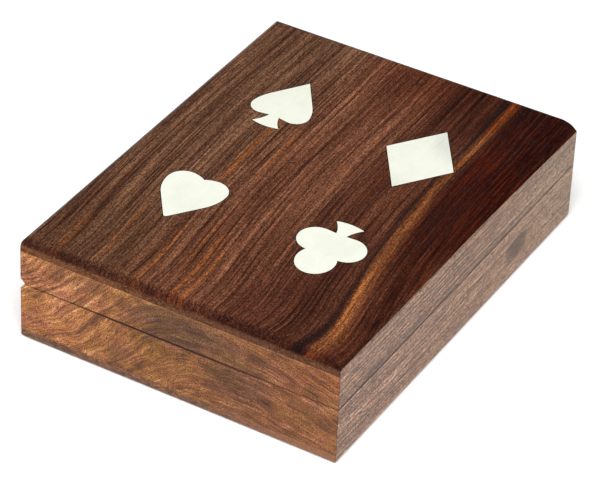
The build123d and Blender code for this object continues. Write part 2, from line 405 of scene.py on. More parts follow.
def blend_grain(finish, bands, streaks, fibres, shares):
    # One value around a half from the three scales. Larger shares give more contrast.
    total = 0.5 - sum(shares) / 2
    for scale, share in zip((bands, streaks, fibres), shares):
        total = finish.sum(total, finish.product(scale, share))
    return total


def ring_lines(finish, along, across, depth, spacing, seed, fade=(0.42, 0.64)):
    # Thin dark lines at an uneven spacing, strong in some places and faint in others
    place = as_vector(finish, along, across, depth)
    drift = cloud(finish, place, (150, 7, 30), seed)
    turns = finish.sum(finish.product(across, 2 * math.pi / spacing), finish.product(drift, 24.0))
    wave = finish.node("Math", turns, operation="SINE").outputs[0]
    strength = between(finish, cloud(finish, place, (50, 2.8, 9), seed + 4.0), *fade)
    return finish.product(between(finish, wave, 0.0, 1.0), strength)

# %% [markdown]
# A look is three things: the wood's colour, how rough it is, and a relief for the bump. All looks
# end alike. The open pores are dark and lie deeper, the wood between them is lighter and darker
# in grains of half a millimetre, and the fibres vary in how rough they are. Only the measure of
# each differs, so one helper takes those measures and closes any look.

# %% How every wood ends
GRIT_SIZE = (0.5, 0.42, 0.42)
WOOD_RELIEF = 0.30
WAX_IOR = 1.37


def speckle(finish, place, shade, amount):
    # Makes the shade lighter and darker in small grains
    grit = cloud(finish, place, GRIT_SIZE, 77.0, 1.0)
    factor = finish.node("MapRange", grit, 0.3, 0.7, 1 - amount, 1 + amount).outputs[0]
    scaled = finish.node("VectorMath", shade, operation="SCALE")
    finish.feed(scaled.inputs["Scale"], factor)
    return scaled.outputs[0]


def close_look(
    finish, place, shade, fibres, pores, pore_dark, pore_share, grit, rough, uneven=0.14, raised=1.0
):
    # Lays pores and grit over the shade, and makes the roughness and the relief from the fibres
    shade = tint(finish, finish.product(pores, pore_share), shade, pore_dark)
    shade = speckle(finish, place, shade, grit)
    roughness = finish.sum(rough, finish.product(fibres, uneven))
    relief = finish.difference(fibres, finish.product(pores, 0.6))
    return shade, roughness, finish.product(relief, raised)


def over(finish, amount, under, upper):
    # Lays one look over another
    return (
        tint(finish, amount, under[0], upper[0]),
        weigh(finish, amount, under[1], upper[1]),
        weigh(finish, amount, under[2], upper[2]),
    )


def finish_wood(finish, shade, roughness, relief, gloss=0.5):
    # Gloss is how strongly the wax mirrors the room
    finish.shader.inputs["IOR"].default_value = WAX_IOR
    finish.shader.inputs["Specular IOR Level"].default_value = gloss
    return finish.dress(shade, roughness, relief, strength=0.7, depth_mm=WOOD_RELIEF)

# %% [markdown]
# ## The look of the top
# The lid's top is dark rosewood with fine straight streaks. An amber streak runs along it near the
# opening side, swings outwards towards the left end and hooks back at the edge, with a nearly
# black band beside it. The other streaks bend with it, less and less towards the hinges. So we
# first describe the amber streak's line, and then shift the whole grain by it.

# %% How the top's grain runs
AMBER_LINE = [
    # along the box, where the amber streak is across it
    (-76, -43.75), (-71.5, -45.65), (-66, -46.25), (-58, -45.55), (-50, -44.05),
    (-40, -42.25), (-30, -40.55), (-20, -39.05), (-10, -37.95), (0, -37.05),
    (12, -36.35), (28, -35.85), (48, -35.65), (63, -35.05), (76, -34.55),
]
# where the streak would run without its bend
AMBER_REST = -34.95
HOOK_STARTS = -66.0


def top_grain(finish, x, y, z):
    amber = curve(finish, x, AMBER_LINE)
    place = as_vector(finish, x, y, z)
    wander = stray(finish, place, (70, 18, 30), 2.0, 1.8)
    ripple = stray(finish, place, (14, 4, 6), 5.0, 1.0)
    drift = finish.sum(wander, finish.product(ripple, 0.35))
    # The grain near the hinges follows the streak's bend less than the grain beside it
    share = finish.node("MapRange", y, 56.0, -45.0, 0.36, 0.80).outputs[0]
    unhooked = curve(finish, finish.larger(x, HOOK_STARTS), AMBER_LINE)
    bend = finish.product(finish.difference(unhooked, AMBER_REST), share)
    hook = finish.product(finish.difference(amber, unhooked), between(finish, y, -8, -36))
    across = finish.sum(finish.difference(y, finish.sum(bend, hook)), drift)
    from_amber = finish.sum(finish.difference(y, amber), finish.product(ripple, 0.6))
    return across, from_amber


streak_places = [across for _, across in AMBER_LINE]
print(f"the amber streak bends by {max(streak_places) - min(streak_places):.1f} mm")

# %% [markdown]
# The colour is laid in the order that a painter would use: the brown of the whole board with its
# streaks, then warmer and tan lines in a few places, then the deep red towards the front edge,
# then the amber streak with its dark neighbour, and last the pores. The warm and the tan lines
# are few enough to be listed, each with its place.

# %% Warm and tan lines
ORANGE = colour(0.330, 0.098, 0.020)
TAN = colour(0.215, 0.106, 0.046)

# where a line runs across the board, its half width, from where to where it runs along the board,
# and its strength
WARM_LINES = [
    (24.1, 1.8, -15, 24, 0.60),
    (15.2, 1.2, -5, 20, 0.45),
    (14.0, 1.2, -62, -34, 0.50),
    (9.6, 1.3, -90, -40, 0.60),
    (6.4, 1.5, -90, -48, 0.70),
    (22.4, 1.5, -90, -42, 0.42),
    (49.3, 2.0, -90, -54, 0.35),
    (37.1, 1.4, -70, -40, 0.38),
    (-27.6, 0.7, -5, 28, 0.50),
    (-18.5, 0.6, -5, 20, 0.40),
]
TAN_LINES = [
    (38.0, 1.3, 52, 90, 0.45),
    (19.5, 1.0, 40, 70, 0.50),
    (23.5, 0.7, 52, 90, 0.40),
    (32.6, 0.8, -30, 10, 0.35),
    (5.6, 0.7, 10, 60, 0.30),
]
LINE_FADE = 6


def lay_lines(finish, x, across, patchy, lines, shade, line_colour):
    # Lays a few lines of one colour, each between two places along the board
    total = 0.0
    for centre, width, start, end, strength in lines:
        line = finish.product(ridge(finish, across, centre, width), strength)
        line = finish.product(line, between(finish, x, start - LINE_FADE, start + LINE_FADE))
        line = finish.product(line, between(finish, x, end + LINE_FADE, end - LINE_FADE))
        total = finish.larger(total, line)
    return tint(finish, finish.product(total, patchy), shade, line_colour)


print("warm lines:", len(WARM_LINES), "and tan lines:", len(TAN_LINES))

# %% [markdown]
# Beyond the amber streak, towards the opening side, the wood is a deep red with fine red and dark
# threads. One stain makes the red, and one long thin cloud gives both kinds of thread: red where
# it is high and dark where it is low.

# %% Deep red towards the front
NEAR_BLACK = colour(0.012, 0.005, 0.004)
DEEP_RED = colour(0.34, 0.088, 0.04)
RED_THREAD = colour(0.120, 0.022, 0.007)


def redden_front(finish, x, across, z, from_amber, shade):
    beyond = between(finish, from_amber, -1.0, -5.0)
    amount = finish.product(beyond, weigh(finish, between(finish, x, -65, 30), 0.25, 1.0))
    shade = multiply_colour(finish, amount, shade, DEEP_RED)
    threads = cloud(finish, as_vector(finish, x, across, z), (22, 0.6, 2), 19.0, 2.0, 0.6)
    red_threads = finish.product(between(finish, threads, 0.50, 0.62), 0.30)
    shade = tint(finish, finish.product(amount, red_threads), shade, RED_THREAD)
    dark_threads = finish.product(between(finish, threads, 0.49, 0.38), 0.65)
    return tint(finish, finish.product(amount, dark_threads), shade, NEAR_BLACK)

# %% [markdown]
# The amber streak has a sharp edge on the hinge side, where the near-black line runs along it,
# and fades out slowly towards the front. Both change along the box, so their places, widths and
# strengths are curves too.

# %% Amber streak and its dark neighbour
AMBER = colour(0.330, 0.108, 0.030)
RED_AMBER = colour(0.200, 0.044, 0.006)

# each is a list of places along the box, with the value there
DARK_LINE_PLACE = [(-76, 3.6), (-66, 2.9), (-58, 2.2), (20, 2.0), (48, 2.1), (76, 2.9)]
DARK_LINE_WIDTH = [
    (-76, 3.6), (-66, 3.0), (-58, 1.8), (0, 1.3), (20, 1.0), (48, 1.5), (76, 1.6),
]
DARK_LINE_STRENGTH = [
    (-76, 0.9), (-66, 0.9), (-55, 0.75), (0, 0.7), (20, 0.5), (48, 0.8), (76, 0.95),
]
AMBER_REACH = [
    (-76, -7.6), (-60, -6.4), (-46, -5.0), (-30, -5.6), (0, -4.6), (15, -2.8), (34, -2.0),
    (60, -3.0), (76, -3.5),
]
AMBER_STRENGTH = [
    (-76, 0.65), (-66, 0.82), (-58, 0.98), (-40, 0.93), (-30, 0.62), (0, 0.6), (40, 0.75),
    (60, 0.9), (76, 0.75),
]


def lay_dark_line(finish, x, from_amber, shade):
    centre = curve(finish, x, DARK_LINE_PLACE)
    width = curve(finish, x, DARK_LINE_WIDTH)
    strength = curve(finish, x, DARK_LINE_STRENGTH)
    away = finish.size_of(finish.difference(from_amber, centre))
    amount = finish.product(between(finish, away, width, 0.2), strength)
    return tint(finish, amount, shade, NEAR_BLACK)


def lay_amber(finish, x, z, from_amber, shade):
    reach = curve(finish, x, AMBER_REACH)
    strength = curve(finish, x, AMBER_STRENGTH)
    inside = between(finish, from_amber, 1.2, -0.2)
    inside = finish.product(inside, between(finish, from_amber, reach, -0.4))
    threads = cloud(finish, as_vector(finish, x, from_amber, z), (26, 0.6, 3), 41.0)
    threads = weigh(finish, between(finish, threads, 0.40, 0.56), 0.35, 1.0)
    amount = finish.product(finish.product(inside, strength), threads)
    streak_colour = tint(finish, between(finish, x, 44, 58), AMBER, RED_AMBER)
    return tint(finish, amount, shade, streak_colour)

# %% [markdown]
# Now the top's layers go over each other. The board isn't one brown from end to end, so a few
# wide, soft stains make it redder, darker or duller in places.

# %% The whole top
TOP_TONES = [
    (0.34, 0.028, 0.010, 0.005),
    (0.43, 0.068, 0.027, 0.014),
    (0.50, 0.106, 0.046, 0.024),
    (0.57, 0.150, 0.070, 0.037),
    (0.66, 0.213, 0.106, 0.056),
]
REDDER = colour(1.16, 0.96, 0.92)
DARK_RED = colour(0.62, 0.44, 0.36)
DARKER = colour(0.88, 0.86, 0.84)
DULL_BROWN = colour(0.58, 0.50, 0.50)


def top_look(finish, x, y, z):
    across, from_amber = top_grain(finish, x, y, z)
    bands, streaks, fibres, pores = grain(finish, x, across, z, 11.0, fibre_length=28.0)
    tone = blend_grain(finish, bands, streaks, fibres, (0.24, 0.42, 0.51))
    shade = tones(finish, tone, TOP_TONES)
    shade = multiply_colour(finish, between(finish, y, 30, 8), shade, REDDER)

    # Warm lines, then the thin dark ones over them
    patchy = weigh(finish, between(finish, fibres, 0.36, 0.58), 0.35, 1.0)
    shade = lay_lines(finish, x, across, patchy, WARM_LINES, shade, ORANGE)
    shade = lay_lines(finish, x, across, patchy, TAN_LINES, shade, TAN)
    rings = ring_lines(finish, x, across, z, 1.35, 23.0)
    shade = tint(finish, finish.product(rings, 0.55), shade, NEAR_BLACK)

    # Dark red at the far end, a little darker near the left end, and duller towards the front
    far_end = finish.product(between(finish, x, 34, 72), between(finish, y, 24, -6))
    shade = multiply_colour(finish, far_end, shade, DARK_RED)
    left_end = finish.product(between(finish, x, -28, -44), between(finish, y, 4, 14))
    shade = multiply_colour(finish, left_end, shade, DARKER)
    shade = multiply_colour(finish, between(finish, y, -4, -22), shade, DULL_BROWN)

    shade = redden_front(finish, x, across, z, from_amber, shade)
    shade = lay_dark_line(finish, x, from_amber, shade)
    shade = lay_amber(finish, x, z, from_amber, shade)
    place = as_vector(finish, x, y, z)
    return close_look(
        finish, place, shade, fibres, pores, NEAR_BLACK, pore_share=0.55, grit=0.66, rough=0.25,
        uneven=0.08,
    )

# %% [markdown]
# ## The look of the long sides
# The front of the box is the same timber sawn the other way. Seen at a low angle it looks washed
# out, because it mirrors the white paper, so its own colour is a middling brown. The grain is
# fine and level, the lid and the base were one board, and there is a small dark knot mark. The
# knot is a stretched circle, and the grain's bands push its outline in and out.

# %% Front and back
SIDE_TONES = [
    (0.32, 0.062, 0.031, 0.018),
    (0.42, 0.178, 0.092, 0.053),
    (0.50, 0.298, 0.162, 0.096),
    (0.58, 0.422, 0.239, 0.147),
    (0.68, 0.600, 0.362, 0.233),
]
SIDE_RING = colour(0.060, 0.031, 0.019)
SIDE_PORE = colour(0.040, 0.020, 0.013)
LID_DARKER = colour(0.92, 0.92, 0.92)
LID_STARTS = (20.6, 21.2)
BLUER = colour(1.02, 1.02, 1.09)
PALER = colour(1.06, 1.18, 1.21)
KNOT = (37.5, 11.3)
KNOT_HALF_SIZE = (8.5, 4.2)
KNOT_BROWN = colour(0.115, 0.060, 0.030)


def oval_distance(finish, along, up, centre, half_size, ragged):
    # 0 in the middle of an oval and 1 on its outline, plus a value that makes it ragged
    aside = finish.product(finish.difference(along, centre[0]), 1 / half_size[0])
    above = finish.product(finish.difference(up, centre[1]), 1 / half_size[1])
    far = finish.sum(finish.product(aside, aside), finish.product(above, above))
    return finish.sum(far, ragged)


def side_look(finish, x, y, z):
    place = as_vector(finish, x, y, z)
    level = finish.sum(z, stray(finish, place, (55, 40, 12), 4.0, 3.0))
    bands, streaks, fibres, pores = grain(finish, x, level, y, 31.0, 0.62, 1.4)
    tone = blend_grain(finish, bands, streaks, fibres, (0.06, 0.50, 0.62))
    # The lines are clearer at the left than at the right
    clear = weigh(finish, between(finish, x, -15, 60), 1.0, 0.62)
    tone = finish.sum(finish.product(finish.difference(tone, 0.5), clear), 0.5)
    shade = tones(finish, tone, SIDE_TONES)
    rings = ring_lines(finish, x, level, y, 1.9, 33.0, (0.28, 0.56))
    rings = finish.product(rings, finish.product(clear, 0.60))
    shade = tint(finish, rings, shade, SIDE_RING)

    # A little darker on the lid, bluer at the left, and paler and less red at the right
    shade = multiply_colour(finish, between(finish, z, *LID_STARTS), shade, LID_DARKER)
    shade = multiply_colour(finish, between(finish, x, 10, -70), shade, BLUER)
    shade = multiply_colour(finish, between(finish, x, 0, 70), shade, PALER)

    # Knot mark, on the front only
    ragged = finish.product(finish.difference(bands, 0.5), 1.4)
    far = oval_distance(finish, x, z, KNOT, KNOT_HALF_SIZE, ragged)
    knot = finish.product(between(finish, far, 1.2, 0.35), between(finish, y, 10, -10))
    shade = tint(finish, finish.product(knot, 0.95), shade, KNOT_BROWN)
    return close_look(
        finish, place, shade, fibres, pores, SIDE_PORE, pore_share=0.7, grit=0.75, rough=0.30,
        raised=2.0,
    )

# %% [markdown]
# ## The look of the ends
# The ends show a livelier cut: orange tan with swirls near the hinges, a curl in the middle, cool
# brown patches above and beside it, and flatter stripes towards the front. We describe the
# grain's lines by how far they climb at each place. A line of grain is then a place of equal
# height above that curve.

# %% How the ends' grain runs
CLIMB = [
    # from the hinges to the front, how far the grain has climbed
    (-70, -7.0), (-57, 0.0), (-42, 8.2), (-28, 17.2), (-20, 23.0),
    (-12, 28.6), (-4, 32.6), (4, 34.8), (14, 35.8), (28, 34.6),
    (42, 31.4), (57, 26.6), (70, 22.2),
]
LEAN = 0.5
LEAN_FROM = 20.0


def end_grain_lines(finish, x, y, z):
    place = as_vector(finish, x, y, z)
    swirl = stray(finish, place, (400, 20, 13), 8.0, 5.0)
    ripple = stray(finish, place, (400, 5, 4), 12.0, 0.7)
    along = finish.product(y, -1.0)
    # Low down the lines keep climbing further towards the front
    leaning = finish.sum(along, finish.product(finish.difference(z, LEAN_FROM), LEAN))
    height = finish.difference(z, curve(finish, leaning, CLIMB))
    height = finish.sum(height, finish.sum(swirl, ripple))
    return along, height


print(f"the ends' grain climbs to {max(climbed for _, climbed in CLIMB):.1f} mm")

# %% [markdown]
# The colours of an end wander more than those of the top. Two clouds with no grain in them do
# that: one makes the wood lighter and darker in blotches, the other pinkish or golden. The cool
# brown patches are ragged ovals like the knot, each with its centre, half size and strength.

# %% Colours of the ends
END_TONES = [
    (0.31, 0.071, 0.021, 0.006),
    (0.41, 0.171, 0.057, 0.014),
    (0.50, 0.272, 0.096, 0.028),
    (0.59, 0.380, 0.152, 0.052),
    (0.69, 0.545, 0.270, 0.118),
]
# brings the blotched tone back to the middle of the tones
END_BALANCE = 0.284
END_RING = colour(0.060, 0.020, 0.007)
END_PORE = colour(0.035, 0.012, 0.005)
PINKISH = colour(0.98, 0.92, 1.22)
GOLDEN = colour(0.98, 1.04, 0.84)
MIDDLE_TAN = colour(0.68, 0.69, 0.52)
FRONT_TAN = colour(0.94, 0.88, 1.06)
LIGHT_CORNER = colour(1.34, 1.28, 1.24)
COOL_BROWN = colour(0.44, 0.44, 0.66)
COOL_PATCHES = [
    ((-2, 27), (24, 8), 1.0),
    ((-21, 17), (13, 15), 0.62),
    ((22, 8), (4, 6), 0.5),
    ((37, 30), (9, 5), 0.32),
]


def end_look(finish, x, y, z):
    along, height = end_grain_lines(finish, x, y, z)
    bands, streaks, _, _ = grain(finish, along, height, x, 51.0, 0.8, 0.26)
    _, _, fibres, pores = grain(finish, along, height, x, 51.0, 1.1, 0.55)
    tone = blend_grain(finish, bands, streaks, fibres, (0.30, 0.50, 0.46))
    # In some patches the lines fade and the wood is only mottled
    calmer = cloud(finish, as_vector(finish, along, height, x), (13, 6.5, 9), 57.0)
    calmer = weigh(finish, between(finish, calmer, 0.38, 0.60), 0.50, 1.0)
    tone = finish.product(finish.difference(tone, 0.5), calmer)
    surface = as_vector(finish, y, z, x)
    blotch = cloud(finish, surface, (6, 4, 9), 58.0, 3.0, 0.65)
    tone = finish.sum(tone, finish.product(blotch, 0.42))
    shade = tones(finish, finish.sum(tone, END_BALANCE), END_TONES)
    hue = cloud(finish, surface, (13, 8, 9), 59.0, 3.0, 0.6)
    shade = multiply_colour(finish, between(finish, hue, 0.50, 0.62), shade, PINKISH)
    shade = multiply_colour(finish, between(finish, hue, 0.50, 0.38), shade, GOLDEN)

    # Duller towards the middle and the front, with cool brown patches and a light upper corner
    shade = multiply_colour(finish, between(finish, y, 44, 12), shade, MIDDLE_TAN)
    shade = multiply_colour(finish, between(finish, y, 0, -35), shade, FRONT_TAN)
    ragged = finish.product(finish.difference(bands, 0.5), 1.6)
    cool = 0.0
    for centre, half_size, strength in COOL_PATCHES:
        patch = between(finish, oval_distance(finish, y, z, centre, half_size, ragged), 1.3, 0.1)
        cool = finish.larger(cool, finish.product(patch, strength))
    shade = multiply_colour(finish, cool, shade, COOL_BROWN)
    corner = finish.product(between(finish, y, -37, -46), between(finish, z, 23, 28))
    shade = multiply_colour(finish, corner, shade, LIGHT_CORNER)

    rings = finish.product(ring_lines(finish, along, height, x, 1.5, 53.0), 0.36)
    shade = tint(finish, rings, shade, END_RING)
    place = as_vector(finish, x, y, z)
    return close_look(
        finish, place, shade, fibres, pores, END_PORE, pore_share=0.75, grit=0.66, rough=0.32
    )

# %% [markdown]
# ## Plain faces
# Inside the box, and underneath, the wood is plain: nearly straight grain, oiled once. These
# faces only show when the lid is open, but then they fill much of the picture, so they get grain
# and pores like the rest.

# %% Inside faces
PLAIN_TONES = [
    (0.34, 0.050, 0.021, 0.011),
    (0.43, 0.100, 0.044, 0.022),
    (0.50, 0.145, 0.067, 0.034),
    (0.57, 0.190, 0.092, 0.048),
    (0.66, 0.250, 0.128, 0.070),
]
PLAIN_DARK = colour(0.035, 0.016, 0.010)


def plain_look(finish, along, across, depth, seed=71.0):
    straight = as_vector(finish, along, across, depth)
    across = finish.sum(across, stray(finish, straight, (70, 18, 30), seed, 5.0))
    bands, streaks, fibres, pores = grain(finish, along, across, depth, seed, 1.0, 0.8)
    tone = blend_grain(finish, bands, streaks, fibres, (0.34, 0.36, 0.30))
    shade = tones(finish, tone, PLAIN_TONES)
    rings = ring_lines(finish, along, across, depth, 1.8, seed + 2.0)
    shade = tint(finish, finish.product(rings, 0.45), shade, PLAIN_DARK)
    place = as_vector(finish, along, across, depth)
    return close_look(
        finish, place, shade, fibres, pores, PLAIN_DARK, pore_share=0.6, grit=0.3, rough=0.44
    )

# %% [markdown]
# ## The walls
# Now the looks go onto the boards. A wall shows its good side outwards and plain wood inwards, so
# a mask picks the outermost layer of the box. The mitred corners show as one thin dark line, and
# along the saw cut between lid and base a painted shade darkens the edges of the gap.

# %% Long walls
HALF_LENGTH = cad_high.x * 1000
HALF_WIDTH = cad_high.y * 1000
HALF_CUT = 0.08
CUT_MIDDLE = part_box("base_front_wall")[1].z * 1000 + HALF_CUT
CUT_SHADE = colour(0.022, 0.004, 0.002)
CORNER_LINE = 0.3
SEAM_DARK = colour(0.030, 0.012, 0.007)


def outermost(finish, value, half, start, end):
    # 0 to 1 through the outer layer on both sides of the box, from depth start to depth end
    return between(finish, finish.size_of(value), half - start, half - end)


def darken_corner(finish, x, y, look):
    near_end = outermost(finish, x, HALF_LENGTH, CORNER_LINE, 0.0)
    near_side = outermost(finish, y, HALF_WIDTH, CORNER_LINE, 0.0)
    corner = finish.product(finish.product(near_end, near_side), 0.6)
    return tint(finish, corner, look[0], SEAM_DARK), look[1], look[2]


def darken_cut(finish, z, strength, width, look):
    # Painted shade along the gap of the saw cut
    away = finish.size_of(finish.difference(z, CUT_MIDDLE))
    near_cut = finish.product(between(finish, away, width, 0.15), strength)
    return tint(finish, near_cut, look[0], CUT_SHADE), look[1], look[2]


def make_long_wall():
    finish = Finish("long_wall_rosewood")
    (x, y, z), _ = find_place(finish)
    plain = plain_look(finish, x, z, y)
    outside = outermost(finish, y, HALF_WIDTH, 0.6, 0.4)
    side = darken_cut(finish, z, 1.0, 0.46, side_look(finish, x, y, z))
    look = over(finish, outside, plain, side)
    return finish_wood(finish, *darken_corner(finish, x, y, look), gloss=0.36)


long_wall_wood = make_long_wall()
count_nodes(long_wall_wood)

# %% [markdown]
# Where an end wall meets the board above it, a thin painted highlight stands for the light that its
# edge catches, and its joints with both boards are dark hairlines. Along an end the painted shade
# of the saw cut is darkest in the middle, so its strength and width are curves.

# %% End walls
WALL_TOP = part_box("lid_front_wall")[1].z * 1000
BOTTOM_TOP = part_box("bottom_board")[1].z * 1000
EDGE_HIGHLIGHT_WIDTH = 0.35
PAINTED_EDGE_HIGHLIGHT = colour(0.36, 0.15, 0.06)
END_CUT_STRENGTH = [
    (-57, 0.35), (-38, 0.4), (-8, 1.0), (20, 1.0), (32, 0.7), (44, 0.5), (57, 0.15),
]
END_CUT_WIDTH = [(-57, 0.40), (-8, 0.62), (20, 0.60), (40, 0.50), (57, 0.36)]


def edge_highlight_and_seams(finish, z, look):
    # A painted highlight along the wall's top edge, then dark hairlines at both joints
    highlight_band = ridge(finish, z, WALL_TOP - EDGE_HIGHLIGHT_WIDTH, EDGE_HIGHLIGHT_WIDTH)
    shade = tint(finish, finish.product(highlight_band, 0.22), look[0], PAINTED_EDGE_HIGHLIGHT)
    upper_seam = ridge(finish, z, WALL_TOP, 0.16)
    lower_seam = finish.product(ridge(finish, z, BOTTOM_TOP, 0.18), 0.7)
    seams = finish.product(finish.larger(upper_seam, lower_seam), 0.8)
    return tint(finish, seams, shade, SEAM_DARK), look[1], look[2]


def make_end_wall():
    finish = Finish("end_wall_rosewood")
    (x, y, z), _ = find_place(finish)
    plain = plain_look(finish, y, z, x, 83.0)
    outside = outermost(finish, x, HALF_LENGTH, 0.6, 0.4)
    end = edge_highlight_and_seams(finish, z, end_look(finish, x, y, z))
    strength = curve(finish, y, END_CUT_STRENGTH)
    end = darken_cut(finish, z, strength, curve(finish, y, END_CUT_WIDTH), end)
    look = over(finish, outside, plain, end)
    return finish_wood(finish, *darken_corner(finish, x, y, look), gloss=0.3)


end_wall_wood = make_end_wall()
count_nodes(end_wall_wood)

# %% [markdown]
# ## The top board
# Three looks meet on this board. Its top is the dark figured wood. Its front and back edges
# continue the long walls with no visible joint. Its ends show end grain, a cool brown, and the
# streaks of the top run over the rounded edge down to it. The direction that the surface faces
# tells the three apart.

# %% Ends of the top board
BAND_BROWN = colour(0.100, 0.037, 0.017)
BAND_DARK = colour(0.055, 0.020, 0.008)
BAND_LIGHT = colour(0.155, 0.064, 0.028)
BAND_COOLER = colour(0.76, 0.80, 0.95)
BAND_ROUGHNESS = 0.42


def band_look(finish, x, y, z):
    place = as_vector(finish, x, y, z)
    mottle = cloud(finish, place, (1.2, 1.1, 0.6), 61.0, 3.0, 0.7)
    smudge = cloud(finish, place, (30, 9, 3), 63.0)
    shade = tint(finish, between(finish, smudge, 0.35, 0.65), BAND_BROWN, BAND_DARK)
    shade = tint(finish, between(finish, mottle, 0.45, 0.70), shade, BAND_LIGHT)
    shade = multiply_colour(finish, between(finish, y, 30, -10), shade, BAND_COOLER)
    return speckle(finish, place, shade, 0.4), BAND_ROUGHNESS, mottle

# %% [markdown]
# The top is waxed less than the walls and mirrors less of the white paper. On its front and back
# edges that would show as a darker strip above the wall, so a painted reflection of the paper, a
# little white, is added there to the wood's own colour. The recesses for the suits get a near-black
# painted shade, which covers all that is sunken in the field of the suits.

# %% Top board
ROUNDED_EDGE_SHADE = colour(0.42, 0.31, 0.30)
PAINTED_PAPER_REFLECTION = colour(0.034, 0.034, 0.034)
BOX_TOP = cad_high.z * 1000
SUIT_FIELD = (60, 44)
# near-black painted shade for what is sunken around the suits
RECESS_SHADE = (NEAR_BLACK, 0.6, 0.5)


def find_recesses(finish, x, y, z):
    in_length = between(finish, finish.size_of(x), SUIT_FIELD[0] + 2, SUIT_FIELD[0])
    in_width = between(finish, finish.size_of(y), SUIT_FIELD[1] + 2, SUIT_FIELD[1])
    below = between(finish, z, BOX_TOP - 0.03, BOX_TOP - 0.10)
    sunken = finish.product(below, between(finish, z, BOX_TOP - 2.5, BOX_TOP - 2.0))
    return finish.product(finish.product(in_length, in_width), sunken)


def make_top_board():
    finish = Finish("top_rosewood")
    (x, y, z), (facing_x, facing_y, _) = find_place(finish)
    shade, roughness, relief = top_look(finish, x, y, z)
    # Painted shade: the rounded edges at the ends and at the hinges are darker, by the way they
    # face
    tilted = finish.larger(
        between(finish, finish.size_of(facing_x), 0.12, 0.75), between(finish, facing_y, 0.25, 0.85)
    )
    look = multiply_colour(finish, tilted, shade, ROUNDED_EDGE_SHADE), roughness, relief
    on_end = between(finish, finish.size_of(facing_x), 0.90, 0.99)
    look = over(finish, on_end, look, band_look(finish, x, y, z))

    shade, roughness, relief = side_look(finish, x, y, z)
    # Painted reflection: a little white for the paper that these edges would mirror
    shade = tint(finish, 1.0, shade, PAINTED_PAPER_REFLECTION, "ADD")
    on_side = between(finish, finish.size_of(facing_y), 0.86, 0.90)
    look = over(finish, on_side, look, (shade, roughness, relief))
    # Painted shade in the recesses around the suits
    look = over(finish, find_recesses(finish, x, y, z), look, RECESS_SHADE)
    return finish_wood(finish, *darken_corner(finish, x, y, look), gloss=0.07)


top_wood = make_top_board()
count_nodes(top_wood)

# %% [markdown]
# ## The bottom board
# The bottom board closes the box from below. Its end grain is dark near the hinges and gets
# lighter towards the front, and its long edges run on from the walls.

# %% Bottom board
BOTTOM_END_TONES = [
    (0.34, 0.030, 0.010, 0.004),
    (0.50, 0.095, 0.033, 0.010),
    (0.66, 0.190, 0.074, 0.026),
]
PALER_END = colour(0.230, 0.095, 0.038)


def bottom_end_look(finish, x, y, z):
    place = as_vector(finish, x, y, z)
    mottle = cloud(finish, place, (9, 1.8, 0.8), 95.0, 3.0, 0.7)
    shade = tones(finish, mottle, BOTTOM_END_TONES)
    shade = tint(finish, finish.product(between(finish, y, 0, -55), 0.6), shade, PALER_END)
    return speckle(finish, place, shade, 0.4), BAND_ROUGHNESS, mottle


def make_bottom_board():
    finish = Finish("bottom_rosewood")
    (x, y, z), (facing_x, _, _) = find_place(finish)
    look = plain_look(finish, x, y, z, 91.0)
    on_end = outermost(finish, x, HALF_LENGTH, 1.2, 0.8)
    look = over(finish, on_end, look, bottom_end_look(finish, x, y, z))
    # The side's look stops where the board faces its end
    on_side = outermost(finish, y, HALF_WIDTH, 1.2, 0.9)
    on_side = finish.product(on_side, between(finish, finish.size_of(facing_x), 0.8, 0.5))
    look = over(finish, on_side, look, side_look(finish, x, y, z))
    return finish_wood(finish, *darken_corner(finish, x, y, look))


bottom_wood = make_bottom_board()
count_nodes(bottom_wood)

# %% [markdown]
# The divider between the two packs is plain wood, with its grain running from front to back.

# %% Divider
def make_divider():
    finish = Finish("divider_rosewood")
    (x, y, z), _ = find_place(finish)
    return finish_wood(finish, *plain_look(finish, y, z, x, 97.0))


divider_wood = make_divider()
count_nodes(divider_wood)

# %% [markdown]
# ## The metal suits
# The suits are pale metal, sanded flush with the wood. Sanding leaves fine scratches that run
# along the box and a dull, nearly white surface. Along the diamond's far edge, and faintly at its
# near corner, the scratches show more, and a painted shade greys the metal for the brushed metal's
# duller reflection there. A mirror-like metal would show the dim room and turn dark, so it is
# rather rough, and mixed with a chalky base.

# %% Suit metal
METAL_TONES = [
    (0.35, 0.695, 0.715, 0.610),
    (0.60, 0.735, 0.750, 0.655),
]
SCRATCH_GREY = colour(0.48, 0.47, 0.43)
PAINTED_SHADE_GREY = colour(0.52, 0.53, 0.50)
SPECK_GREY = colour(0.50, 0.48, 0.42)
GAP_SHADE_BROWN = colour(0.030, 0.018, 0.012)
EDGE_SLANT = (0.57, 0.82)


def find_scratched_and_shaded_metal(finish, x, y):
    # The diamond's far edge runs aslant, so we measure square to it
    slant = finish.difference(finish.product(x, EDGE_SLANT[0]), finish.product(y, EDGE_SLANT[1]))
    far_edge = finish.product(between(finish, slant, 39.5, 45.5), between(finish, x, 27, 40))
    near_corner = finish.product(between(finish, x, 20, 14), between(finish, x, 4, 8))
    near_corner = finish.product(near_corner, between(finish, y, -14, -20))
    return finish.larger(far_edge, finish.product(near_corner, 0.4))


